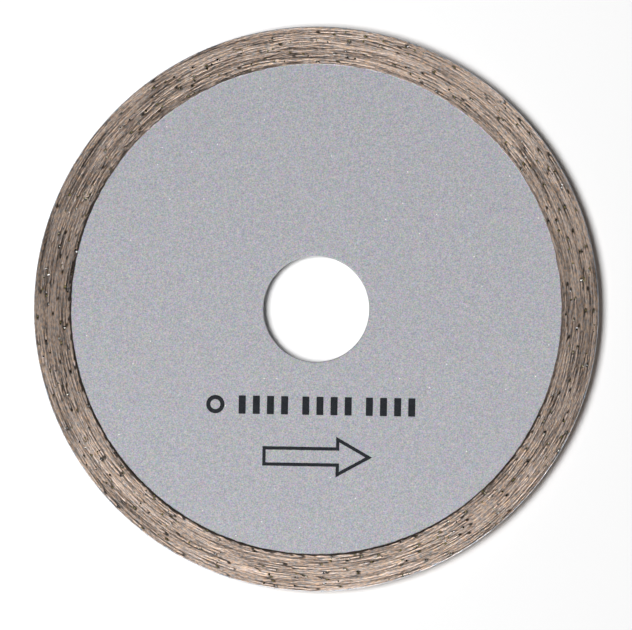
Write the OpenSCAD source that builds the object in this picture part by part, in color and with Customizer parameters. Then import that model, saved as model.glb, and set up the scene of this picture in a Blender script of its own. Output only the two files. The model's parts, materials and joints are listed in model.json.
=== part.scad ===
// Continuous-rim diamond blade: a steel disc, a sintered bronze rim full of diamond crystals,
// a lacquer film on each face, and two ink prints on the front. Millimetres.
// The bore's centre, half way through the disc, is the origin. +Z points out of the printed face.

/* [Blade] */
// Outside diameter of the rim
blade_d = 80; // [76:0.5:90]
// Diameter of the arbor bore
bore_d = 15; // [10:0.5:20]
// Broken edge at both ends of the bore
bore_chamfer = 0.15; // [0.05:0.05:0.2]

/* [Steel core] */
// Thickness of the steel disc
core_t = 1.2; // [0.8:0.1:1.2]
// How far the disc's edge reaches into the rim
core_bite = 1.6; // [1.2:0.1:2]
// Number of half-round keyways in the disc's edge
key_count = 36; // [24:1:48]
// Radius of one keyway
key_r = 0.8; // [0.4:0.1:0.9]

/* [Diamond rim] */
// Radial height of the rim
rim_h = 5.3; // [5:0.1:7]
// Width of the rim across its two side faces
rim_t = 1.9; // [1.9:0.1:2.4]
// Broken edge between each side face and the cutting edge
rim_chamfer = 0.15; // [0.05:0.05:0.2]

/* [Diamond crystals] */
// Size of one crystal across its cube faces
crystal_d = 0.35; // [0.2:0.05:0.35]
// Crystals in each side face of the rim
face_crystals = 48; // [20:1:80]
// Crystals in the cutting edge
edge_crystals = 36; // [20:1:60]
// Crystals inside the bond, that wear has not reached
buried_crystals = 36; // [20:1:60]

/* [Lacquer and ink] */
// Thickness of each lacquer film
lacquer_t = 0.05; // [0.04:0.01:0.08]
// Bare steel between the lacquer and the bore's broken edge
lacquer_margin = 0.1; // [0.1:0.05:0.3]
// Thickness of the ink, which bites into the lacquer until the two are level
ink_t = 0.03; // [0.02:0.01:0.03]
// Length of the rotation arrow
arrow_l = 15.3; // [10:0.1:18]
// Length of the arrow's head
arrow_head_l = 4.9; // [3:0.1:6]
// Width across the arrow's head
arrow_head_w = 5.5; // [4:0.1:6]
// Width across the arrow's shaft
arrow_shaft_w = 2.6; // [1.5:0.1:3]
// Width of the line that draws the arrow
arrow_line = 0.4; // [0.3:0.05:0.5]
// Height of the size mark
mark_h = 2.6; // [1.5:0.1:3]
// Groups of bars in the size mark
mark_groups = 3; // [1:1:3]
// Bars in one group
mark_bars = 4; // [1:1:4]

/* [Hidden] */
$fn = 360;

blade_r = blade_d / 2;
bore_r = bore_d / 2;
rim_inner_r = blade_r - rim_h;
core_r = rim_inner_r + core_bite;
core_face = core_t / 2;
rim_face = rim_t / 2;
lacquer_face = core_face + lacquer_t;
ink_z = lacquer_face - ink_t;
through = rim_t + 1;

// A crystal is a cube whose eight corners are cut off square to the cube's diagonals.
corner_cut = 1.2 * crystal_d;
diagonal_tilt = acos(1 / sqrt(3));
// Furthest that any point of a crystal lies from its centre
crystal_reach = norm([crystal_d / 2, crystal_d / 2, corner_cut * sqrt(3) / 2 - crystal_d]);
// The side faces and the edge are ground, so a crystal's centre lies just under the ground surface.
crystal_depth = 0.06;
// Least bond between crystals of different sets, and between a crystal and the core's edge
crystal_gap = 0.1;
golden_angle = 137.508;
face_inner_r = rim_inner_r + crystal_reach + crystal_gap;
buried_inner_r = core_r + crystal_reach + crystal_gap;
edge_inner_r = blade_r - crystal_depth - crystal_reach;
spread_outer_r = edge_inner_r - crystal_gap - crystal_reach;
face_inner_z = rim_face - crystal_depth - crystal_reach;
buried_swing = face_inner_z - crystal_gap - crystal_reach;
edge_swing = rim_face - rim_chamfer - crystal_reach;

// Where the two prints stand, from the bore's centre
arrow_at = [0.45, -20.9];
mark_at = [-0.55, -13.7];
// Bars and the gaps between them are equally wide
bar_w = 1;
bar_pitch = 2 * bar_w;
group_gap = 2;
ring_line = 0.6;
group_l = (2 * mark_bars - 1) * bar_w;
mark_l = mark_h + mark_groups * (group_gap + group_l);

// Radius of crystal i of n, so that every crystal has an equal area of the ring round it
function ring_r(i, n, r_in, r_out) = sqrt(r_in * r_in + (r_out * r_out - r_in * r_in) * (i + 0.5) / n);

// A value from -1 to 1 that steps evenly through the range as i grows
function swing(i) = 2 * ((i * golden_angle) % 360) / 360 - 1;

// The seven corners of a block arrow that points along +X
function arrow_corners(tail, neck, tip, shaft_y, head_y) = [
    [tail, -shaft_y], [neck, -shaft_y], [neck, -head_y], [tip, 0],
    [neck, head_y], [neck, shaft_y], [tail, shaft_y]
];

// One blocky crystal, turned its own way by its number
module crystal(i) {
    rotate([i * 47, i * 71, i * 113])
        intersection() {
            cube(crystal_d, center = true);
            intersection_for (turn = [45 : 90 : 315])
                rotate([0, diagonal_tilt, turn])
                    cube([2 * crystal_d, 2 * crystal_d, corner_cut], center = true);
        }
}

// Crystals spread over a side face; side is 1 for the front and -1 for the back
module face_crystal_set(side) {
    for (i = [0 : face_crystals - 1])
        rotate(side * i * golden_angle)
            translate([ring_r(i, face_crystals, face_inner_r, spread_outer_r), 0,
                       side * (rim_face - crystal_depth)])
                crystal(i);
}

module edge_crystal_set() {
    for (i = [0 : edge_crystals - 1])
        rotate(i * 360 / edge_crystals)
            translate([blade_r - crystal_depth, 0, edge_swing * swing(i)])
                crystal(i);
}

module buried_crystal_set() {
    for (i = [0 : buried_crystals - 1])
        rotate(i * golden_angle)
            translate([ring_r(i, buried_crystals, buried_inner_r, spread_outer_r), 0,
                       buried_swing * swing(7 * i)])
                crystal(i);
}

// The rim's ground outline, before the core and the crystals take their room in it
module rim_envelope() {
    rotate_extrude()
        polygon([
            [rim_inner_r, -rim_face], [blade_r - rim_chamfer, -rim_face],
            [blade_r, rim_chamfer - rim_face], [blade_r, rim_face - rim_chamfer],
            [blade_r - rim_chamfer, rim_face], [rim_inner_r, rim_face]
        ]);
}

module core_blank() {
    rotate_extrude()
        polygon([
            [bore_r + bore_chamfer, -core_face], [core_r, -core_face],
            [core_r, core_face], [bore_r + bore_chamfer, core_face],
            [bore_r, core_face - bore_chamfer], [bore_r, bore_chamfer - core_face]
        ]);
}

// Stamped steel disc; the bond fills its keyways, so the rim cannot slip round
module steel_core() {
    color("silver")
        difference() {
            core_blank();
            for (i = [0 : key_count - 1])
                rotate(i * 360 / key_count)
                    translate([core_r, 0, 0])
                        cylinder(r = key_r, h = through, center = true);
        }
}

// Sintered bronze, pressed round the disc's edge and round every crystal
module bond_rim() {
    color("rosybrown")
        difference() {
            rim_envelope();
            steel_core();
            face_crystal_set(1);
            face_crystal_set(-1);
            edge_crystal_set();
            buried_crystal_set();
        }
}

module front_diamonds() {
    color("darkkhaki")
        intersection() {
            face_crystal_set(1);
            rim_envelope();
        }
}

module back_diamonds() {
    color("darkkhaki")
        intersection() {
            face_crystal_set(-1);
            rim_envelope();
        }
}

module edge_diamonds() {
    color("khaki")
        intersection() {
            edge_crystal_set();
            rim_envelope();
        }
}

module buried_diamonds() {
    color("gold") buried_crystal_set();
}

// Lacquer film from the bare margin round the bore to the rim's wall
module lacquer_film() {
    linear_extrude(lacquer_t)
        difference() {
            circle(r = rim_inner_r);
            circle(r = bore_r + bore_chamfer + lacquer_margin);
        }
}

// The front film, with shallow beds where the ink bites into it
module front_lacquer() {
    color("lightsteelblue")
        difference() {
            translate([0, 0, core_face]) lacquer_film();
            arrow_print();
            size_print();
        }
}

module back_lacquer() {
    color("lightsteelblue") translate([0, 0, -lacquer_face]) lacquer_film();
}

// Outlined block arrow that shows which way the blade turns
module arrow_print() {
    head_angle = atan(arrow_head_w / 2 / arrow_head_l);
    neck = arrow_l / 2 - arrow_head_l;
    inner_tip = arrow_l / 2 - arrow_line / sin(head_angle);
    inner_neck = neck + arrow_line;
    color("midnightblue")
        translate([arrow_at[0], arrow_at[1], ink_z])
            linear_extrude(ink_t)
                difference() {
                    polygon(arrow_corners(-arrow_l / 2, neck, arrow_l / 2,
                                          arrow_shaft_w / 2, arrow_head_w / 2));
                    polygon(arrow_corners(arrow_line - arrow_l / 2, inner_neck, inner_tip,
                                          arrow_shaft_w / 2 - arrow_line,
                                          (inner_tip - inner_neck) * tan(head_angle)));
                }
}

// Generic mark in place of a size legend: a ring, then groups of plain bars
module size_print() {
    color("midnightblue")
        translate([mark_at[0] - mark_l / 2, mark_at[1] - mark_h / 2, ink_z]) {
            translate([mark_h / 2, mark_h / 2, 0])
                linear_extrude(ink_t)
                    difference() {
                        circle(r = mark_h / 2);
                        circle(r = mark_h / 2 - ring_line);
                    }
            for (group = [0 : mark_groups - 1], bar = [0 : mark_bars - 1])
                translate([mark_h + group_gap + group * (group_l + group_gap) + bar * bar_pitch, 0, 0])
                    cube([bar_w, mark_h, ink_t]);
        }
}

steel_core();
bond_rim();
front_diamonds();
back_diamonds();
edge_diamonds();
buried_diamonds();
front_lacquer();
back_lacquer();
arrow_print();
size_print();
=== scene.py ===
"""Looks of a continuous-rim diamond blade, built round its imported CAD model.

The blade lies on its back face. The bore's centre is the origin, and the printed face looks up along +Z.
"""

import json
import math

import bmesh
import bpy
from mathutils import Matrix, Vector, noise


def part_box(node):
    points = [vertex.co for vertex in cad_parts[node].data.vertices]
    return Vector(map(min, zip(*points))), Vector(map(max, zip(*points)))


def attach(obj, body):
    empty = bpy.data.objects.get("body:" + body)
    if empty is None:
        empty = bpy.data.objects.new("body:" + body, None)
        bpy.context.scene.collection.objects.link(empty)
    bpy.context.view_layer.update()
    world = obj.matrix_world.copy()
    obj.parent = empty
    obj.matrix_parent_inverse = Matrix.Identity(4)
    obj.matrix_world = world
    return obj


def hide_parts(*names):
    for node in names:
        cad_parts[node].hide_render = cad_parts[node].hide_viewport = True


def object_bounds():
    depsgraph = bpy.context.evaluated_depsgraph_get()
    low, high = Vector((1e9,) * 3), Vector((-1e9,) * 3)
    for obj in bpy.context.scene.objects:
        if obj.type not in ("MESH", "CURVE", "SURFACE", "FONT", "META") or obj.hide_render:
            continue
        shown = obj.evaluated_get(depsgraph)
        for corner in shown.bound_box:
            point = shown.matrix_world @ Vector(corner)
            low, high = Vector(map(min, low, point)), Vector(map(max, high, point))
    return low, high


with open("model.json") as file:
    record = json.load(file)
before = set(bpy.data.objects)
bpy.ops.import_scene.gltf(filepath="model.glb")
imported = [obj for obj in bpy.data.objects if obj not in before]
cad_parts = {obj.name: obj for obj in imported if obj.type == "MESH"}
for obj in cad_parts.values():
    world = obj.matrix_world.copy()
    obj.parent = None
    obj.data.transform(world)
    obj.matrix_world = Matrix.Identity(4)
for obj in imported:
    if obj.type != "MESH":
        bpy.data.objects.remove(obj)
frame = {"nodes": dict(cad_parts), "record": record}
cad_low, cad_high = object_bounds()


# ---------------------------------------------------------------- Steel core
# A disc stamped from alloy steel sheet, hardened and ground flat. Only the bore's wall and a sliver of its
# broken edges show: the rest is under lacquer, and the disc's keyed edge is inside the rim.
# The CAD solid has its shape already, so it stays and gets a turned-steel finish.

MM = 0.001


def plugged(value):
    """The socket of a Field, or the value itself."""
    return value.socket if isinstance(value, Field) else value


def node(tree, kind, inputs=None, **settings):
    """Adds a node, makes its choices, and feeds its inputs with values or with other nodes' sockets."""
    made = tree.nodes.new(kind)
    for name, value in settings.items():
        setattr(made, name, value)
    for name, value in (inputs or {}).items():
        if isinstance(name, int):
            target = made.inputs[name]
        else:
            target = next(s for s in made.inputs if s.enabled and s.name == name)
        value = plugged(value)
        if isinstance(value, bpy.types.NodeSocket):
            tree.links.new(value, target)
        else:
            target.default_value = value
    return made


def result(made, name=None):
    """A node's first output in use, or the one with that name."""
    return next(s for s in made.outputs if s.enabled and (name is None or s.name == name))


class Field:
    """A number that varies over a surface, worked out by nodes but written as ordinary arithmetic."""

    def __init__(self, tree, socket):
        self.tree = tree
        self.socket = socket

    def math(self, operation, *others):
        made = node(self.tree, "ShaderNodeMath", dict(enumerate((self, *others))), operation=operation)
        return Field(self.tree, made.outputs[0])

    def __add__(self, other):
        return self.math("ADD", other)

    def __sub__(self, other):
        return self.math("SUBTRACT", other)

    def __mul__(self, other):
        return self.math("MULTIPLY", other)

    def __truediv__(self, other):
        return self.math("DIVIDE", other)

    __radd__ = __add__
    __rmul__ = __mul__

    def __rtruediv__(self, other):
        return self.math("POWER", -1.0) * other

    def __rsub__(self, other):
        return (self * -1) + other

    def ramp(self, low, high, to_low=0.0, to_high=1.0):
        """Goes smoothly from to_low to to_high while the number goes from low to high."""
        inputs = {"Value": self, "From Min": low, "From Max": high, "To Min": to_low, "To Max": to_high}
        made = node(self.tree, "ShaderNodeMapRange", inputs, interpolation_type="SMOOTHSTEP")
        return Field(self.tree, result(made))

    def bump(self, reach):
        """A smooth hump, 1 where the number is 0 and nothing where it is further than reach from 0."""
        return self.math("ABSOLUTE").ramp(0.0, reach, 1.0, 0.0)


def joined(tree, x=0.0, y=0.0, z=0.0):
    """A vector from three numbers."""
    return result(node(tree, "ShaderNodeCombineXYZ", {"X": x, "Y": y, "Z": z}))


def parts_of(tree, vector):
    """The three numbers of a vector."""
    made = node(tree, "ShaderNodeSeparateXYZ", {"Vector": vector})
    return [Field(tree, s) for s in made.outputs]


def noise_field(tree, vector, scale=1.0, detail=2.0, roughness=0.5):
    """Soft noise from 0 to 1."""
    inputs = {"Vector": vector, "Scale": scale, "Detail": detail, "Roughness": roughness}
    return Field(tree, result(node(tree, "ShaderNodeTexNoise", inputs)))


def new_group(name, inputs, outputs, kind="ShaderNodeTree"):
    """A node group with its input and output nodes. inputs and outputs are {name: (type, start value)}."""
    group = bpy.data.node_groups.new(name, kind)
    for direction, sockets in (("INPUT", inputs), ("OUTPUT", outputs)):
        for label, (socket_type, start) in sockets.items():
            made = group.interface.new_socket(name=label, in_out=direction, socket_type=socket_type)
            if start is not None:
                made.default_value = start
    return group, group.nodes.new("NodeGroupInput"), group.nodes.new("NodeGroupOutput")


NUMBER = "NodeSocketFloat"
COLOUR = "NodeSocketColor"

# Lines left by turning or grinding, which run round the blade's axis on any of its surfaces.
ring_lines, lines_in, lines_out = new_group(
    "ring_lines",
    {"Spacing": (NUMBER, 0.2), "Run": (NUMBER, 10.0), "Sway": (NUMBER, 0.0), "Seed": (NUMBER, 0.0)},
    {"Line": (NUMBER, None), "Tint": (COLOUR, None)},
)
place = result(node(ring_lines, "ShaderNodeTexCoord"), "Object")
px, py, pz = [part / MM for part in parts_of(ring_lines, place)]
from_axis = (px * px + py * py).math("SQRT")
line_spacing, line_run, line_sway, line_seed = [
    Field(ring_lines, lines_in.outputs[label]) for label in ("Spacing", "Run", "Sway", "Seed")
]
cos_turn = px / from_axis
sin_turn = py / from_axis
sway = (cos_turn * sin_turn * 2 + cos_turn) * line_sway
line_turn = math.degrees(1) / line_run

# Height counts with the radius, so the lines also run round the bore's wall and the cutting edge.
HEIGHT_TO_ACROSS = 3
across_lines = (from_axis + pz * HEIGHT_TO_ACROSS + sway) / line_spacing
line_place = joined(ring_lines, cos_turn * line_turn + line_seed, sin_turn * line_turn, across_lines)
line_noise = node(ring_lines, "ShaderNodeTexNoise", {"Vector": line_place, "Scale": 1.0, "Detail": 2.0})
ring_lines.links.new(result(line_noise), lines_out.inputs["Line"])
ring_lines.links.new(result(line_noise, "Color"), lines_out.inputs["Tint"])


def grouped(tree, group, kind="ShaderNodeGroup", **inputs):
    """Places a node group and returns it. An input's name is given with _ for each space."""
    made = tree.nodes.new(kind)
    made.node_tree = group
    for name, value in inputs.items():
        value = plugged(value)
        target = made.inputs[name.replace("_", " ")]
        if isinstance(value, bpy.types.NodeSocket):
            tree.links.new(value, target)
        else:
            target.default_value = value
    return made


def new_material(name, **constants):
    """A material with one Principled BSDF, whose plain sockets are set by name, such as Roughness=0.4."""
    made = bpy.data.materials.new(name)
    made.use_nodes = True
    tree = made.node_tree
    shader = tree.nodes["Principled BSDF"]
    for label, value in constants.items():
        shader.inputs[label.replace("_", " ")].default_value = value
    return made, tree, shader


def across_lines_tangent(tree):
    """The direction in the surface that crosses the turned or ground lines."""
    geometry = node(tree, "ShaderNodeNewGeometry")
    place = result(node(tree, "ShaderNodeTexCoord"), "Object")
    round_axis = node(tree, "ShaderNodeVectorMath", {0: (0, 0, 1), 1: place}, operation="CROSS_PRODUCT")
    across = {0: result(geometry, "Normal"), 1: result(round_axis)}
    return result(node(tree, "ShaderNodeVectorMath", across, operation="CROSS_PRODUCT"))


def blended(tree, share, low, high, way="MIX"):
    """A colour between low and high, or low with high laid over it another way."""
    made = node(tree, "ShaderNodeMix", data_type="RGBA", blend_type=way)
    for socket, value in ((made.inputs[0], share), (made.inputs[6], low), (made.inputs[7], high)):
        value = plugged(value)
        if isinstance(value, bpy.types.NodeSocket):
            tree.links.new(value, socket)
        else:
            socket.default_value = value
    return made.outputs[2]


def roughened(tree, shader, height, distance):
    """Gives the shader a bump from a height field, distance metres deep."""
    inputs = {"Height": height, "Distance": distance, "Strength": 1.0}
    tree.links.new(result(node(tree, "ShaderNodeBump", inputs)), shader.inputs["Normal"])


def feed(tree, shader, **sockets):
    """Links fields or sockets to the shader's inputs by name."""
    for label, value in sockets.items():
        tree.links.new(plugged(value), shader.inputs[label.replace("_", " ")])


def line_field(tree, **look):
    """The ring lines of a given look, from 0 to 1."""
    return Field(tree, grouped(tree, ring_lines, **look).outputs["Line"])


turned_steel, tree, shader = new_material("turned_steel", Metallic=1.0, Anisotropic=0.5)
lines = line_field(tree, Spacing=0.05, Run=40.0, Seed=3.0)
stain = noise_field(tree, result(node(tree, "ShaderNodeTexCoord"), "Object"), scale=900.0, detail=4.0)
steel = blended(tree, lines * 0.6 + stain * 0.4, (0.38, 0.38, 0.39, 1), (0.72, 0.72, 0.73, 1))
feed(tree, shader, Base_Color=steel, Tangent=across_lines_tangent(tree))
feed(tree, shader, Roughness=stain.ramp(0.35, 0.7, 0.28, 0.42))
TURNING_DEPTH = 0.006
roughened(tree, shader, lines, TURNING_DEPTH * MM)
frame["nodes"]["steel_core"].data.materials.clear()
frame["nodes"]["steel_core"].data.materials.append(turned_steel)


# ---------------------------------------------------------------- Bond rim
# A ring of bronze powder pressed round the disc's keyed edge and sintered there, with the diamonds in it.
# Its side faces are ground: the wheel leaves fine lines round the rim, and behind each diamond it leaves
# a raised tail of bond between two grooves. Geometry Nodes spin the section and cut those into it.

blade_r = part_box("bond_rim")[1].x / MM
rim_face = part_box("bond_rim")[1].z / MM
rim_inner_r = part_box("back_lacquer")[1].x / MM
core_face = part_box("steel_core")[1].z / MM
core_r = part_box("steel_core")[1].x / MM
lacquer_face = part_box("front_lacquer")[1].z / MM
GEOMETRY = "NodeSocketGeometry"
COUNT = "NodeSocketInt"


def section_mesh(name, corners):
    """A closed loop of points, the section that is spun into a ring. Each corner is (radius, height,
    outward radius, outward height, exposed): exposed is 1 where the surface shows and takes relief."""
    mesh = bpy.data.meshes.new(name)
    count = len(corners)
    loop = [(i, (i + 1) % count) for i in range(count)]
    mesh.from_pydata([(radius * MM, 0, height * MM) for radius, height, *marks in corners], loop, [])
    for index, label in enumerate(("section_r", "section_z", "out_r", "out_z", "exposed")):
        values = mesh.attributes.new(label, "FLOAT", "POINT")
        values.data.foreach_set("value", [c[index] for c in corners])
    return mesh


# Spins a section round Z. The angle of each point is left on it in radians, as the attribute "turn".
spun_section, spun_in, spun_out = new_group(
    "spun_section",
    {"Section": (GEOMETRY, None), "Segments": (COUNT, 360)},
    {"Ring": (GEOMETRY, None)},
    "GeometryNodeTree",
)
segments = Field(spun_section, spun_in.outputs["Segments"])
circle = node(spun_section, "GeometryNodeCurvePrimitiveCircle", {"Resolution": segments})
point_number = Field(spun_section, result(node(spun_section, "GeometryNodeInputIndex")))
turn = point_number * math.tau / segments
with_turn = node(
    spun_section, "GeometryNodeStoreNamedAttribute",
    {"Geometry": result(circle), "Name": "turn", "Value": turn}, data_type="FLOAT", domain="POINT",
)
section_curve = node(spun_section, "GeometryNodeMeshToCurve", {"Mesh": spun_in.outputs["Section"]})
spun_curves = {"Curve": result(with_turn), "Profile Curve": result(section_curve)}
ring = node(spun_section, "GeometryNodeCurveToMesh", spun_curves)
spun_section.links.new(result(ring), spun_out.inputs["Ring"])

# Where the diamonds sit: x is the angle round the blade in radians, and y the radius or height in mm.
diamond_seats, seats_in, seats_out = new_group(
    "diamond_seats",
    {"Count": (COUNT, 100), "Low": (NUMBER, 0.0), "High": (NUMBER, 1.0), "Seed": (COUNT, 0)},
    {"Seats": (GEOMETRY, None)},
    "GeometryNodeTree",
)


def random_field(tree, low, high, seed, index=None):
    """A number drawn for each point, or for the point whose index is given."""
    inputs = {"Min": low, "Max": high, "Seed": seed}
    if index is not None:
        inputs["ID"] = index
    return Field(tree, result(node(tree, "FunctionNodeRandomValue", inputs, data_type="FLOAT")))


seat_low, seat_high, seat_seed = [
    Field(diamond_seats, seats_in.outputs[label]) for label in ("Low", "High", "Seed")
]
seat_turn = random_field(diamond_seats, 0.0, math.tau, seat_seed)
seat_share = random_field(diamond_seats, 0.0, 1.0, seat_seed + 1)
seat_across = seat_low + (seat_high - seat_low) * seat_share
seat_points = node(
    diamond_seats, "GeometryNodePoints",
    {"Count": seats_in.outputs["Count"], "Position": joined(diamond_seats, seat_turn, seat_across)},
)
diamond_seats.links.new(result(seat_points), seats_out.inputs["Seats"])

FACE_SEATS = 560
FRONT_SEED = 11
BACK_SEED = 47
INNER_MARGIN = 0.2
OUTER_MARGIN = 0.35
seat_inner_r = rim_inner_r + INNER_MARGIN
seat_outer_r = blade_r - OUTER_MARGIN


def named(tree, label):
    """A number stored on the mesh under that name."""
    stored = node(tree, "GeometryNodeInputNamedAttribute", {"Name": label}, data_type="FLOAT")
    return Field(tree, result(stored))


def seats(tree, **choices):
    """Points where diamonds sit, in unrolled coordinates."""
    return result(grouped(tree, diamond_seats, "GeometryNodeGroup", **choices))


def spun(tree, fields):
    """The section that comes into a tree, spun into a ring, and the numbers stored on its points."""
    choices = {"Section": fields["Geometry"], "Segments": fields["Segments"]}
    ring = result(grouped(tree, spun_section, "GeometryNodeGroup", **choices))
    labels = ("turn", "section_r", "section_z", "out_r", "out_z", "exposed")
    return ring, [named(tree, label) for label in labels]


def placed(tree, geometry, position):
    """Geometry with its points put at a position."""
    return result(node(tree, "GeometryNodeSetPosition", {"Geometry": geometry, "Position": position}))


def new_tree(name, inputs):
    """A modifier's tree: geometry and the named inputs come in, and geometry goes out."""
    sockets = {"Geometry": (GEOMETRY, None), **inputs}
    made, group_in, group_out = new_group(name, sockets, {"Geometry": (GEOMETRY, None)}, "GeometryNodeTree")
    made.is_modifier = True
    fields = {label: Field(made, group_in.outputs[label]) for label in sockets}
    return made, fields, group_out


def ended(tree, group_out, geometry, material, smooth=True):
    """Ends a tree: real geometry, smooth or flat, with its material."""
    real = node(tree, "GeometryNodeRealizeInstances", {"Geometry": geometry})
    shaded = node(tree, "GeometryNodeSetShadeSmooth", {"Geometry": result(real), "Shade Smooth": smooth})
    final = node(tree, "GeometryNodeSetMaterial", {"Geometry": result(shaded), "Material": material})
    tree.links.new(result(final), group_out.inputs["Geometry"])


def grown(name, mesh, tree, **inputs):
    """Runs a tree on a mesh and returns the result as a plain object with no modifier."""
    seed_object = bpy.data.objects.new(name + "_seed", mesh)
    bpy.context.scene.collection.objects.link(seed_object)
    modifier = seed_object.modifiers.new(tree.name, "NODES")
    modifier.node_group = tree
    identifiers = {
        item.name: item.identifier for item in tree.interface.items_tree if item.item_type == "SOCKET"
    }
    for label, value in inputs.items():
        modifier[identifiers[label.replace("_", " ")]] = value
    seed_object.update_tag()
    bpy.context.view_layer.update()
    evaluated = seed_object.evaluated_get(bpy.context.evaluated_depsgraph_get())
    made = bpy.data.meshes.new_from_object(evaluated)
    made.name = name
    bpy.data.objects.remove(seed_object)
    piece = bpy.data.objects.new(name, made)
    bpy.context.scene.collection.objects.link(piece)
    return piece


def ring_noise(tree, cos, sin, across, run, spacing, seed):
    """Noise drawn out round the blade: each streak is about run degrees long and spacing mm wide."""
    turn = math.degrees(1) / run
    return noise_field(tree, joined(tree, cos * turn + seed, sin * turn, across / spacing))


# The bond's colour: brown bronze, darker in the grooves and pits as painted shade, and brighter on the ridges
# as a painted highlight; the painted shade of the inner corner comes in with the pits.
bronze, tree, shader = new_material("ground_bronze_bond", Metallic=0.85, Anisotropic=0.8)
fine = line_field(tree, Spacing=0.15, Run=6.0, Sway=0.5, Seed=1.0)
crossing = line_field(tree, Spacing=0.19, Run=10.0, Sway=-1.0, Seed=5.0)
long_lines = line_field(tree, Spacing=0.23, Run=26.0, Sway=0.3, Seed=14.0)
broad = line_field(tree, Spacing=0.7, Run=12.0, Sway=0.3, Seed=12.5)
grains = grouped(tree, ring_lines, Spacing=0.17, Run=0.8, Seed=21.0)
choppy = Field(tree, grains.outputs["Line"])
comet = node(tree, "ShaderNodeAttribute", attribute_name="comet", attribute_type="GEOMETRY")
ridge, groove, pit = parts_of(tree, result(comet, "Vector"))
grit_noise = noise_field(tree, result(node(tree, "ShaderNodeTexCoord"), "Object"), scale=6500.0)
streaks = fine * 0.25 + crossing * 0.25 + long_lines * 0.4 + broad * 0.35 + choppy * 0.25
# Painted highlight on the ridges, and painted shade in the grooves, the pits and the inner corner.
tone = (streaks - 0.75) * 1.55 + 0.5 + ridge * 0.25 - groove * 0.3 - pit * 0.8
lit = blended(tree, tone.ramp(0.1, 0.85), (0.065, 0.05, 0.041, 1), (0.80, 0.63, 0.53, 1))
edge_shine = node(tree, "ShaderNodeAttribute", attribute_name="worn", attribute_type="GEOMETRY")
lit = blended(tree, Field(tree, result(edge_shine, "Fac")), lit, (0.52, 0.55, 0.60, 1))
warmth, unused, coolness = parts_of(tree, grains.outputs["Tint"])
warm_or_cool = joined(tree, warmth, (warmth + coolness) * 0.5, coolness)
HUE_SHARE = 0.65
hued = blended(tree, HUE_SHARE, lit, warm_or_cool, "OVERLAY")
feed(tree, shader, Base_Color=hued, Tangent=across_lines_tangent(tree))
feed(tree, shader, Roughness=broad.ramp(0.3, 0.7, 0.29, 0.41))
relief = fine * 0.3 + crossing * 0.3 + long_lines * 0.4 + choppy * 0.25 + grit_noise * 0.06
GRINDING_DEPTH = 0.21
roughened(tree, shader, relief, GRINDING_DEPTH * MM)

# The rim's own tree. Depths are in mm, and every cut goes inwards from the CAD faces.
rim_tree, rim, rim_out = new_tree(
    "ground_rim",
    {"Segments": (COUNT, 540), "Line Depth": (NUMBER, 0.02), "Tail Height": (NUMBER, 0.03),
     "Groove Depth": (NUMBER, 0.025), "Pit Depth": (NUMBER, 0.02), "Ragged Edge": (NUMBER, 0.3)},
)
rim_ring, (turn, section_r, section_z, out_r, out_z, exposed) = spun(rim_tree, rim)
cos_turn = turn.math("COSINE")
sin_turn = turn.math("SINE")

# Seats are laid out on an unrolled rim whose length is squeezed, so that the nearest seat to a point is
# the one whose tail passes over it. The front's seats lie on one side of zero and the back's on the other.
MEAN_R = (rim_inner_r + blade_r) / 2
SQUEEZE = 0.2
SIDES_APART = 20.0
TAIL_LEAD = 1.2
all_seats = rim_tree.nodes.new("GeometryNodeJoinGeometry")
for side, seed in ((1, FRONT_SEED), (-1, BACK_SEED)):
    side_seats = seats(rim_tree, Count=FACE_SEATS, Low=seat_inner_r, High=seat_outer_r, Seed=seed)
    seat_x, seat_y, unused = parts_of(rim_tree, result(node(rim_tree, "GeometryNodeInputPosition")))
    for lap in (-1, 0, 1):
        lapped_x = (seat_x + lap * math.tau) * (MEAN_R * SQUEEZE)
        unrolled = placed(rim_tree, side_seats, joined(rim_tree, lapped_x, seat_y, side * SIDES_APART))
        rim_tree.links.new(unrolled, all_seats.inputs[0])
side_of = section_z.math("SIGN")
here_x = turn * (MEAN_R * SQUEEZE)
looked_up = joined(rim_tree, here_x + TAIL_LEAD * SQUEEZE, section_r, side_of * SIDES_APART)
search = {"Geometry": result(all_seats), "Sample Position": looked_up}
nearest = node(rim_tree, "GeometryNodeSampleNearest", search)
nearest_place = node(
    rim_tree, "GeometryNodeSampleIndex",
    {"Geometry": result(all_seats), "Value": result(node(rim_tree, "GeometryNodeInputPosition")),
     "Index": result(nearest)}, data_type="FLOAT_VECTOR", domain="POINT",
)
near_x, near_y, unused = parts_of(rim_tree, result(nearest_place))

# A tail is a ridge straight behind its seat, with a groove on each side of it, and the seat itself is a pit.
TAIL_LENGTHS = (1.0, 4.5)
TAIL_SEED = 5
TAIL_STARTS = 0.25
TAIL_REACH = 0.13
GROOVE_ASIDE = 0.17
GROOVE_REACH = 0.12
PIT_REACH = 0.28
behind = (near_x - here_x) / SQUEEZE
beside = section_r - near_y
tail_length = random_field(rim_tree, *TAIL_LENGTHS, TAIL_SEED, result(nearest))
fade = behind.ramp(0.0, TAIL_STARTS) * (behind / tail_length).ramp(0.0, 1.0, 1.0, 0.0)
INNER_FADE = 0.3
on_face = exposed * section_r.ramp(rim_inner_r, rim_inner_r + INNER_FADE)
ridge = beside.bump(TAIL_REACH) * fade * on_face
groove = (beside.math("ABSOLUTE") - GROOVE_ASIDE).bump(GROOVE_REACH) * fade * on_face
pit = (behind * behind + beside * beside).math("SQRT").bump(PIT_REACH) * on_face

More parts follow.
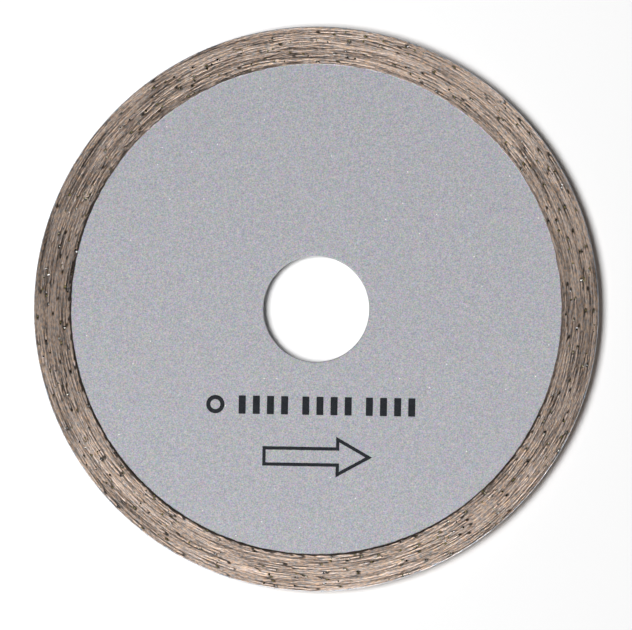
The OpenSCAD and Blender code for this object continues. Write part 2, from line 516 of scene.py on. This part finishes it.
# The ground lines themselves, fine ones on a slow swell, wander across the face as they go round.
LINES_WANDER = 1.2
across = section_r + section_z * HEIGHT_TO_ACROSS + cos_turn * sin_turn * LINES_WANDER
lines = ring_noise(rim_tree, cos_turn, sin_turn, across, run=6.0, spacing=0.28, seed=2.0)
swell = ring_noise(rim_tree, cos_turn, sin_turn, across, run=14.0, spacing=1.3, seed=7.0)
cut = (
    (lines * 0.7 + swell * 0.6) * rim["Line Depth"] + rim["Tail Height"] * (1 - ridge)
    + groove * rim["Groove Depth"] + pit * rim["Pit Depth"]
)
is_wall = out_r.math("LESS_THAN", -0.5)
RAGGED_RATE = 40
ragged_place = joined(rim_tree, cos_turn * RAGGED_RATE, sin_turn * RAGGED_RATE, section_z * 3)
wander = noise_field(rim_tree, ragged_place, detail=3.0) - 0.5
sunk = (cut * (1 - is_wall) + wander * rim["Ragged Edge"] * is_wall) * exposed
new_r = section_r - out_r * sunk
new_z = section_z - out_z * sunk
new_place = joined(rim_tree, new_r * cos_turn * MM, new_r * sin_turn * MM, new_z * MM)
ground = placed(rim_tree, rim_ring, new_place)

# Painted shade lies in the inner corner, darkest at the lower left of the printed face, where the rim's wall
# turns away from the soft boxes.
CORNER_SHADE_MEAN = 0.65
CORNER_SHADE_LEAN = 0.3
CORNER_SHADE_FADES = (0.22, 0.36)
CORNER_SHADE_DEPTH = 0.6
corner_shade_share = CORNER_SHADE_MEAN - sin_turn * CORNER_SHADE_LEAN - cos_turn * CORNER_SHADE_LEAN
painted_corner_shade = (section_r - rim_inner_r - wander).ramp(*CORNER_SHADE_FADES, CORNER_SHADE_DEPTH, 0.0) * corner_shade_share * exposed
# The painted corner shade goes out with the pits, as the third number of "comet".
marked = node(
    rim_tree, "GeometryNodeStoreNamedAttribute",
    {"Geometry": ground, "Name": "comet",
     "Value": joined(rim_tree, ridge, groove, pit.math("MAXIMUM", painted_corner_shade))},
    data_type="FLOAT_VECTOR", domain="POINT",
)
worn = out_r.ramp(0.1, 0.4) * out_z.math("ABSOLUTE").ramp(0.1, 0.4)
worn_marked = node(
    rim_tree, "GeometryNodeStoreNamedAttribute",
    {"Geometry": result(marked), "Name": "worn", "Value": worn}, data_type="FLOAT", domain="POINT",
)
ended(rim_tree, rim_out, result(worn_marked), bronze)

# The section, counter-clockwise from the inner wall's foot on the front: up the wall, over the face, round
# the broken edge, down the cutting edge, and the same again on the back, with the core's edge held between.
FACE_RINGS = 72
EDGE_RINGS = 14
CHAMFER = 0.15
SLOPE = 0.32
SLOPE_FALL = 0.19
HIDDEN_FOOT = 0.15
step_foot = rim_face - SLOPE_FALL


def on_side(corners, side):
    """Corners of the front, or their mirror images on the back when side is -1."""
    return [(r, side * z, to_r, side * to_z, shows) for r, z, to_r, to_z, shows in corners]


def half_section(side):
    """The front half of the section from the core to the middle of the edge, or the back half mirrored."""
    corners = [(core_r, core_face, 0, 0, 0), (rim_inner_r + HIDDEN_FOOT, core_face, 0, 0, 0)]
    corners += [(rim_inner_r, core_face, -1, 0, 1), (rim_inner_r, step_foot, -1, 0, 1)]
    corners += [(rim_inner_r + SLOPE * t, step_foot + SLOPE_FALL * t, -0.9, 0, 1) for t in (0.3, 0.6, 0.85)]
    face_inner_r = rim_inner_r + SLOPE
    face_l = blade_r - CHAMFER - face_inner_r
    corners += [(face_inner_r + face_l * i / FACE_RINGS, rim_face, 0, 1, 1) for i in range(FACE_RINGS + 1)]
    edge_l = rim_face - CHAMFER
    for degrees in (67.5, 45, 22.5):
        out_r, out_z = math.cos(math.radians(degrees)), math.sin(math.radians(degrees))
        corners.append((blade_r - CHAMFER + CHAMFER * out_r, edge_l + CHAMFER * out_z, out_r, out_z, 1))
    corners += [(blade_r, edge_l * (1 - 2 * i / EDGE_RINGS), 1, 0, 1) for i in range(EDGE_RINGS // 2)]
    return on_side(corners, side)


rim_section = half_section(1) + [(blade_r, 0, 1, 0, 1)] + half_section(-1)[::-1]
bond_rim = grown("bond_rim_ground", section_mesh("rim_section", rim_section), rim_tree)
SHARP_CORNER = 50
bond_rim.data.set_sharp_from_angle(angle=math.radians(SHARP_CORNER))
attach(bond_rim, "root")
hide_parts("bond_rim")


# ---------------------------------------------------------------- Diamonds
# Blocky synthetic crystals, about a third of a millimetre across, held by the bond. Grinding leaves their
# tops level with the rim's faces and pulls some out, so three in ten of the seats are empty pits.

CRYSTAL_SIZES = (0.24, 0.44)
CRYSTAL_REACH = 0.55
EMPTY_SHARE = 0.3
SIZE_SEED = 21
TURN_SEEDS = (31, 32, 33)
EMPTY_SEED = 41

crystal_look, tree, shader = new_material("diamond_crystal", Roughness=0.08, IOR=2.4, Metallic=0.0)
place = result(node(tree, "ShaderNodeTexCoord"), "Object")
hue = noise_field(tree, place, scale=1400.0, detail=1.0)
dark_to_olive = blended(tree, hue.ramp(0.4, 0.62), (0.012, 0.011, 0.010, 1), (0.20, 0.17, 0.07, 1))
feed(tree, shader, Base_Color=dark_to_olive)
FACET_DEPTH = 0.004
roughened(tree, shader, noise_field(tree, place, scale=12000.0), FACET_DEPTH * MM)


def crystal_mesh():
    """A cube 1 mm across with its corners cut back, the habit of pressed diamond grit."""
    cut_back = 0.04
    half = 0.5
    corners = []
    for axis in range(3):
        for signs in ((1, 1), (1, -1), (-1, 1), (-1, -1)):
            for small in (cut_back, -cut_back):
                corner = [0.0, 0.0, 0.0]
                corner[axis] = small * MM
                corner[(axis + 1) % 3] = signs[0] * half * MM
                corner[(axis + 2) % 3] = signs[1] * half * MM
                corners.append(corner)
    shape = bmesh.new()
    bmesh.ops.convex_hull(shape, input=[shape.verts.new(corner) for corner in corners])
    bmesh.ops.dissolve_limit(shape, angle_limit=math.radians(1), verts=shape.verts, edges=shape.edges)
    mesh = bpy.data.meshes.new("crystal")
    shape.to_mesh(mesh)
    shape.free()
    return mesh


crystal_tree, grit, grit_out = new_tree(
    "set_diamonds",
    {"Count": (COUNT, 100), "Low": (NUMBER, 0.0), "High": (NUMBER, 1.0), "Seed": (COUNT, 0),
     "Side": (NUMBER, 1.0), "On Edge": (NUMBER, 0.0)},
)
crystal_seats = seats(crystal_tree, **{label: grit[label] for label in ("Count", "Low", "High", "Seed")})
seat_place = result(node(crystal_tree, "GeometryNodeInputPosition"))
seat_turn, seat_across, unused = parts_of(crystal_tree, seat_place)
size = random_field(crystal_tree, *CRYSTAL_SIZES, SIZE_SEED)
reach = size * CRYSTAL_REACH
on_edge = grit["On Edge"]
seat_r = on_edge * (blade_r - reach) + (1 - on_edge) * seat_across
seat_z = on_edge * seat_across + (1 - on_edge) * grit["Side"] * (rim_face - reach)
seat_x = seat_r * seat_turn.math("COSINE")
seat_y = seat_r * seat_turn.math("SINE")
stood = placed(crystal_tree, crystal_seats, joined(crystal_tree, seat_x * MM, seat_y * MM, seat_z * MM))
any_way = joined(crystal_tree, *[random_field(crystal_tree, 0.0, math.tau, s) for s in TURN_SEEDS])
any_turn = node(crystal_tree, "FunctionNodeEulerToRotation", {"Euler": any_way})
kept = random_field(crystal_tree, 0.0, 1.0, EMPTY_SEED).math("GREATER_THAN", EMPTY_SHARE)
rough_crystals = node(
    crystal_tree, "GeometryNodeInstanceOnPoints",
    {"Points": stood, "Selection": kept, "Instance": grit["Geometry"],
     "Rotation": result(any_turn), "Scale": joined(crystal_tree, size, size, size)},
)
all_crystals = {"Geometry": result(rough_crystals)}
real_crystals = result(node(crystal_tree, "GeometryNodeRealizeInstances", all_crystals))

# What stands proud of the rim's faces is ground off level.
px, py, pz = parts_of(crystal_tree, result(node(crystal_tree, "GeometryNodeInputPosition")))
keep_r = (blade_r * MM / (px * px + py * py).math("SQRT")).math("MINIMUM", 1.0)
level_z = pz.math("MINIMUM", rim_face * MM).math("MAXIMUM", -rim_face * MM)
levelled = placed(crystal_tree, real_crystals, joined(crystal_tree, px * keep_r, py * keep_r, level_z))
ended(crystal_tree, grit_out, levelled, crystal_look, smooth=False)

EDGE_SEATS = 240
EDGE_SEED = 83
EDGE_MARGIN = 0.15
edge_reach = rim_face - CHAMFER - EDGE_MARGIN
face_band = {"Count": FACE_SEATS, "Low": seat_inner_r, "High": seat_outer_r}
edge_band = {"Count": EDGE_SEATS, "Low": -edge_reach, "High": edge_reach}
for name, settings in {
    "front_diamonds": {**face_band, "Seed": FRONT_SEED, "Side": 1.0},
    "back_diamonds": {**face_band, "Seed": BACK_SEED, "Side": -1.0},
    "edge_diamonds": {**edge_band, "Seed": EDGE_SEED, "On_Edge": 1.0},
}.items():
    piece = grown(name + "_set", crystal_mesh(), crystal_tree, **settings)
    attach(piece, "root")
    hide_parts(name)
frame["nodes"]["buried_diamonds"].data.materials.clear()
frame["nodes"]["buried_diamonds"].data.materials.append(crystal_look)


# ---------------------------------------------------------------- Lacquer
# Silver lacquer sprayed on both faces of the disc after the rim is ground, and baked. It dries with a
# rounded edge round the bore, creeps a little way up the rim's wall, and has the faint waviness of spray.

bore = next(m for m in frame["record"]["mounts"] if m["name"] == "bore")
bore_r = bore["dims"]["r_mm"]

# The rounded edge at the bore: (out from the bore, up from the core's face), in mm.
LIP = ((0.06, -0.085), (0.062, 0.0), (0.07, 0.03), (0.09, 0.045))

# Fine mottled grain, in which red, green and blue wander apart a little, as they do in metallic paint.
fine_grain, grain_in, grain_out = new_group(
    "fine_grain", {"Size": (NUMBER, 0.3)}, {"Grain": (NUMBER, None), "Tint": (COLOUR, None)}
)
place = result(node(fine_grain, "ShaderNodeTexCoord"), "Object")
grain_scale = Field(fine_grain, grain_in.outputs["Size"]).math("POWER", -1.0) / MM
mottle = node(
    fine_grain, "ShaderNodeTexNoise",
    {"Vector": place, "Scale": grain_scale, "Detail": 3.0, "Roughness": 0.65},
)
fine_grain.links.new(result(mottle), grain_out.inputs["Grain"])
fine_grain.links.new(result(mottle, "Color"), grain_out.inputs["Tint"])

lacquer, tree, shader = new_material("silver_lacquer", Metallic=0.45, Coat_Weight=0.15, Coat_Roughness=0.35)
grain = grouped(tree, fine_grain, Size=0.5)
flake = grouped(tree, fine_grain, Size=0.2)
value = Field(tree, result(grain, "Grain")) * 0.3 + Field(tree, result(flake, "Grain")) * 0.7
silver = blended(tree, value.ramp(0.3, 0.7), (0.341, 0.345, 0.375, 1), (0.523, 0.527, 0.563, 1))
place = result(node(tree, "ShaderNodeTexCoord"), "Object")
# A few paint flakes are given a near-white colour: a painted glint, where flakes would catch the light.
FLAKE_SPACING = 0.6
flakes = node(tree, "ShaderNodeTexVoronoi", {"Vector": place, "Scale": 1 / (FLAKE_SPACING * MM)})
flake_pick = parts_of(tree, result(flakes, "Color"))[0]
painted_flake_glint = Field(tree, result(flakes, "Distance")).ramp(0.1, 0.18, 1.0, 0.0) * flake_pick.ramp(0.965, 0.97)
silver = blended(tree, painted_flake_glint, silver, (1.0, 0.98, 0.94, 1))
TINT_SHARE = 0.72
coloured = blended(tree, TINT_SHARE, silver, result(flake, "Tint"), "OVERLAY")
feed(tree, shader, Base_Color=coloured, Roughness=value.ramp(0.3, 0.7, 0.55, 0.45))
FLAKE_RELIEF = 0.01
roughened(tree, shader, Field(tree, result(flake, "Grain")), FLAKE_RELIEF * MM)

film_tree, film, film_out = new_tree(
    "sprayed_film",
    {"Segments": (COUNT, 480), "Waviness": (NUMBER, 0.004), "Ragged Edge": (NUMBER, 0.05),
     "Creep": (NUMBER, 0.06)},
)
film_ring, (turn, section_r, section_z, out_r, out_z, exposed) = spun(film_tree, film)
cos_turn = turn.math("COSINE")
sin_turn = turn.math("SINE")
flat_place = joined(film_tree, section_r * cos_turn, section_r * sin_turn, section_z * 3)
wave = noise_field(film_tree, flat_place, scale=0.7, detail=2.0) * film["Waviness"] * out_z * exposed
EDGE_RATE = 9
EDGE_FADE = 0.6
edge_place = joined(film_tree, cos_turn * EDGE_RATE, sin_turn * EDGE_RATE, section_z)
wander = noise_field(film_tree, edge_place, detail=3.0) - 0.5
near_bore = section_r.ramp(bore_r, bore_r + EDGE_FADE, 1.0, 0.0)
film_r = section_r + wander * film["Ragged Edge"] * near_bore
CREEP_RATE = 30
CREEP_FADE = 0.15
creep_place = joined(film_tree, cos_turn * CREEP_RATE, sin_turn * CREEP_RATE, section_z)
creep_noise = noise_field(film_tree, creep_place)
near_wall = section_r.ramp(rim_inner_r - CREEP_FADE, rim_inner_r)
creep_lost = creep_noise.ramp(0.42, 0.58) * near_wall * film["Creep"] * out_z
film_z = section_z - wave - creep_lost
film_place = joined(film_tree, film_r * cos_turn * MM, film_r * sin_turn * MM, film_z * MM)
ended(film_tree, film_out, placed(film_tree, film_ring, film_place), lacquer)

FILM_RINGS = 80
LIP_ROUND = 0.12
CREEP_WIDE = 0.17
CREEP_TALL = 0.07
TUCK = 0.12
BITE = 0.01


def film_section(side):
    """The lacquer's section on one face, from its rounded edge at the bore to the creep up the rim's wall."""
    rounded = [(bore_r + r, core_face + z, -0.7, 0.7, 1) for r, z in LIP]
    flat_start, flat_end = bore_r + LIP_ROUND, rim_inner_r - CREEP_WIDE
    flat_l = flat_end - flat_start
    flat = [(flat_start + flat_l * i / FILM_RINGS, lacquer_face, 0, 1, 1) for i in range(FILM_RINGS + 1)]
    creep = [
        (flat_end + CREEP_WIDE * t, lacquer_face + CREEP_TALL * t ** 3, 0, 1, 1)
        for t in (0.25, 0.5, 0.7, 0.85, 1.0)
    ]
    under = core_face - BITE
    foot = [(rim_inner_r + TUCK, lacquer_face + CREEP_TALL, 0, 0, 0), (rim_inner_r + TUCK, under, 0, 0, 0)]
    start = [(bore_r + 0.25, under, 0, 0, 0), (bore_r + 0.08, core_face - 0.1, 0, 0, 0)]
    section = on_side(start + rounded + flat + creep + foot, side)
    return section if side > 0 else section[::-1]


for name, side in (("front_lacquer", 1), ("back_lacquer", -1)):
    piece = grown(name + "_film", section_mesh(name + "_section", film_section(side)), film_tree)
    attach(piece, "root")
    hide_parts(name)


# ---------------------------------------------------------------- Prints
# Two prints in dark ink on the front face: an outlined arrow that gives the turning direction, and a plain
# mark of a ring and bars where a size would stand. The screen leaves a thin, slightly uneven film.

INK_PROUD = 0.012
INK_BITE = 0.02
ink_top = lacquer_face + INK_PROUD
ink_foot = lacquer_face - INK_BITE

ink, tree, shader = new_material("print_ink", Roughness=0.7, Specular_IOR_Level=0.25)
grain = grouped(tree, fine_grain, Size=0.2)
shade = Field(tree, result(grain, "Grain"))
blue_black = blended(tree, shade.ramp(0.3, 0.75), (0.004, 0.005, 0.007, 1), (0.018, 0.021, 0.027, 1))
feed(tree, shader, Base_Color=blue_black)
INK_RELIEF = 0.006
roughened(tree, shader, shade, INK_RELIEF * MM)

arrow_low, arrow_high = [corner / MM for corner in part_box("arrow_print")]
HEAD_SHARE = 4.9 / 15.3
SHAFT_SHARE = 2.6 / 5.5
LINE = 0.4
INK_SPREAD = 0.08


def arrow_corners(inset):
    """The seven corners of the block arrow, moved inwards by inset all round."""
    middle = (arrow_low.y + arrow_high.y) / 2
    tall = (arrow_high.y - arrow_low.y) / 2
    head_l = (arrow_high.x - arrow_low.x) * HEAD_SHARE
    lean = math.atan2(tall, head_l)
    neck = arrow_high.x - head_l + inset
    tip = arrow_high.x - inset / math.sin(lean)
    shaft = tall * SHAFT_SHARE - inset
    head = (tip - neck) * math.tan(lean)
    tail = arrow_low.x + inset
    lower = [(tail, -shaft), (neck, -shaft), (neck, -head)]
    upper = [(x, -y) for x, y in lower[::-1]]
    return [Vector((x, middle + y)) for x, y in (*lower, (tip, 0), *upper)]


WEAVE = 4
UNEVEN = 0.03


def printed_edge(point):
    """Moves a point of the print's edge as the weave of a screen does."""
    spot = Vector((point.x * WEAVE, point.y * WEAVE, 0))
    return point + Vector((noise.noise(spot), noise.noise(spot + Vector((9, 9, 9))))) * UNEVEN


def printed_band(name, outer, inner, steps):
    """A closed band of ink between two outlines with the same number of corners."""
    shape = bmesh.new()
    count = len(outer)
    rows = []
    round_off = 0.03
    shoulder = ink_top - INK_PROUD / 2
    for i in range(count):
        for step in range(steps):
            share = step / steps
            edge_out = printed_edge(outer[i].lerp(outer[(i + 1) % count], share))
            edge_in = printed_edge(inner[i].lerp(inner[(i + 1) % count], share))
            across = (edge_in - edge_out).normalized() * round_off
            section = [(edge_out, ink_foot), (edge_out, shoulder), (edge_out + across, ink_top),
                       (edge_in - across, ink_top), (edge_in, shoulder), (edge_in, ink_foot)]
            rows.append([shape.verts.new((p.x * MM, p.y * MM, z * MM)) for p, z in section])
    for i, row in enumerate(rows):
        following = rows[(i + 1) % len(rows)]
        for k in range(len(row)):
            after = (k + 1) % len(row)
            shape.faces.new((row[k], following[k], following[after], row[after]))
    bmesh.ops.recalc_face_normals(shape, faces=shape.faces)
    mesh = bpy.data.meshes.new(name)
    shape.to_mesh(mesh)
    shape.free()
    mesh.materials.append(ink)
    piece = bpy.data.objects.new(name, mesh)
    bpy.context.scene.collection.objects.link(piece)
    return piece


STEPS_A_SIDE = 24
arrow = printed_band("arrow_ink", arrow_corners(-INK_SPREAD), arrow_corners(LINE), STEPS_A_SIDE)
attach(arrow, "root")
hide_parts("arrow_print")

# The size mark: Geometry Nodes set the bars in their groups and draw the ring.
BAR_CORNER = 0.08
RING_POINTS = 64
mark_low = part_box("size_print")[0] / MM
mark_tree, mark, mark_out = new_tree(
    "size_mark",
    {"Height": (NUMBER, 2.6), "Bar Width": (NUMBER, 1.0), "Group Gap": (NUMBER, 2.0),
     "Ring Line": (NUMBER, 0.6), "Groups": (COUNT, 3), "Bars": (COUNT, 4)},
)
bar_number = Field(mark_tree, result(node(mark_tree, "GeometryNodeInputIndex")))
group_number = (bar_number / mark["Bars"]).math("FLOOR")
bar_x = (
    mark["Height"] + mark["Group Gap"] + mark["Bar Width"] * 0.5 + bar_number * mark["Bar Width"] * 2
    + group_number * (mark["Group Gap"] - mark["Bar Width"])
)
mark_middle = mark["Height"] * 0.5 * MM
bar_points = node(
    mark_tree, "GeometryNodePoints",
    {"Count": mark["Groups"] * mark["Bars"], "Position": joined(mark_tree, bar_x * MM, mark_middle)},
)
bar_outline = node(
    mark_tree, "GeometryNodeCurvePrimitiveQuadrilateral",
    {"Width": mark["Bar Width"] * MM, "Height": mark["Height"] * MM},
)
rounded_bar = node(
    mark_tree, "GeometryNodeFilletCurve",
    {"Curve": result(bar_outline), "Count": 4, "Radius": BAR_CORNER * MM}, mode="POLY",
)
flat_bar = node(mark_tree, "GeometryNodeFillCurve", {"Curve": result(rounded_bar)}, mode="NGONS")
bars_there = {"Points": result(bar_points), "Instance": result(flat_bar)}
bars = node(mark_tree, "GeometryNodeInstanceOnPoints", bars_there)
ring_outlines = node(mark_tree, "GeometryNodeJoinGeometry")
for radius in (mark["Height"] * 0.5, mark["Height"] * 0.5 - mark["Ring Line"]):
    sizes = {"Resolution": RING_POINTS, "Radius": radius * MM}
    outline = node(mark_tree, "GeometryNodeCurvePrimitiveCircle", sizes)
    mark_tree.links.new(result(outline), ring_outlines.inputs[0])
ring_fill = node(mark_tree, "GeometryNodeFillCurve", {"Curve": result(ring_outlines)}, mode="TRIANGLES")
ring_centre = joined(mark_tree, mark_middle, mark_middle)
moved_ring = {"Geometry": result(ring_fill), "Translation": ring_centre}
ring_there = node(mark_tree, "GeometryNodeTransform", moved_ring)
flat_mark = node(mark_tree, "GeometryNodeJoinGeometry")
real_bars = node(mark_tree, "GeometryNodeRealizeInstances", {"Geometry": result(bars)})
for piece in (result(real_bars), result(ring_there)):
    mark_tree.links.new(piece, flat_mark.inputs[0])
up = joined(mark_tree, mark_low.x * MM, mark_low.y * MM, ink_top * MM)
lifted = node(mark_tree, "GeometryNodeTransform", {"Geometry": result(flat_mark), "Translation": up})
ended(mark_tree, mark_out, result(lifted), ink, smooth=False)

# The flat mark is given its thickness downwards, into the lacquer.
size_mark = grown("size_ink", bpy.data.meshes.new("empty_mark"), mark_tree)
shape = bmesh.new()
shape.from_mesh(size_mark.data)
grown_faces = bmesh.ops.extrude_face_region(shape, geom=shape.faces[:])
lowered = [v for v in grown_faces["geom"] if isinstance(v, bmesh.types.BMVert)]
bmesh.ops.translate(shape, verts=lowered, vec=(0, 0, (ink_foot - ink_top) * MM))
bmesh.ops.recalc_face_normals(shape, faces=shape.faces)
shape.to_mesh(size_mark.data)
shape.free()
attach(size_mark, "root")
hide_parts("size_print")


# ---------------------------------------------------------------- Floor, light and camera
# A plain white table with the blade lying on it, under soft light. The key light stands high on the left
# and throws the short shadow. Five soft boxes in front and two weak ones behind draw the glow on the lines.

FLOOR_WIDE = 6.0
bpy.ops.mesh.primitive_plane_add(size=FLOOR_WIDE, location=(0, 0, cad_low.z))
floor = bpy.context.object
floor.name = "floor"
WHITE = (0.93, 0.93, 0.93, 1)
white, tree, shader = new_material("white_table", Base_Color=WHITE, Roughness=0.9, Specular_IOR_Level=0.0)
floor.data.materials.append(white)

LIGHT_DISTANCE = 0.8


def area_light(name, azimuth, elevation, size, power):
    """A rectangular light that looks at the blade from a direction: azimuth 0 is +X, 90 is +Y."""
    data = bpy.data.lights.new(name, "AREA")
    data.shape = "RECTANGLE"
    data.size, data.size_y = size
    data.energy = power
    light = bpy.data.objects.new(name, data)
    bpy.context.scene.collection.objects.link(light)
    a, e = math.radians(azimuth), math.radians(elevation)
    towards = Vector((math.cos(a) * math.cos(e), math.sin(a) * math.cos(e), math.sin(e)))
    light.location = towards * LIGHT_DISTANCE
    light.rotation_euler = towards.to_track_quat("Z", "Y").to_euler()
    return light


# The key light only shades, and the soft boxes only shine. Each soft box is (azimuth, elevation, power).
key = area_light("key_light", azimuth=181, elevation=63.5, size=(0.48, 0.36), power=8.3)
key.visible_glossy = False
SOFTBOX_SIZE = (0.4, 0.3)
SOFTBOXES = (
    (208, 45, 1.12), (238, 45, 1.65), (270, 45, 1.97), (302, 45, 1.8), (330, 45, 1.25),
    (30, 60, 0.46), (68, 60, 0.42),
)
for azimuth, elevation, power in SOFTBOXES:
    softbox = area_light(f"softbox_{azimuth}", azimuth, elevation, SOFTBOX_SIZE, power)
    softbox.visible_diffuse = False

# A dim room for the light, and a pale wall where the camera sees past the table.
world = bpy.data.worlds.new("studio")
bpy.context.scene.world = world
world.use_nodes = True
dim_room = world.node_tree.nodes["Background"]
dim_room.inputs["Color"].default_value = (0.95, 0.97, 1.0, 1)
dim_room.inputs["Strength"].default_value = 0.03
pale_wall = node(world.node_tree, "ShaderNodeBackground", {"Color": (0.9, 0.9, 0.9, 1), "Strength": 1.0})
seen = result(node(world.node_tree, "ShaderNodeLightPath"), "Is Camera Ray")
room = node(world.node_tree, "ShaderNodeMixShader", {0: seen, 1: result(dim_room), 2: result(pale_wall)})
world.node_tree.links.new(result(room), world.node_tree.nodes["World Output"].inputs["Surface"])

# The camera looks straight down from a metre up, on a long lens. The blade lies a degree off square to it.
camera_data = bpy.data.cameras.new("camera")
CAMERA_UP = 1.0
CAMERA_ASIDE = (-0.00003, -0.00085)
CAMERA_ROLL = 1.0
SEEN_WIDTH = 0.0894
camera_data.lens = camera_data.sensor_width * (CAMERA_UP - cad_high.z) / SEEN_WIDTH
camera = bpy.data.objects.new("camera", camera_data)
bpy.context.scene.collection.objects.link(camera)
camera.location = (*CAMERA_ASIDE, CAMERA_UP)
camera.rotation_euler = (0, 0, math.radians(CAMERA_ROLL))
bpy.context.scene.camera = camera
bpy.context.scene.view_settings.view_transform = "Standard"
bpy.context.scene.view_settings.look = "None"
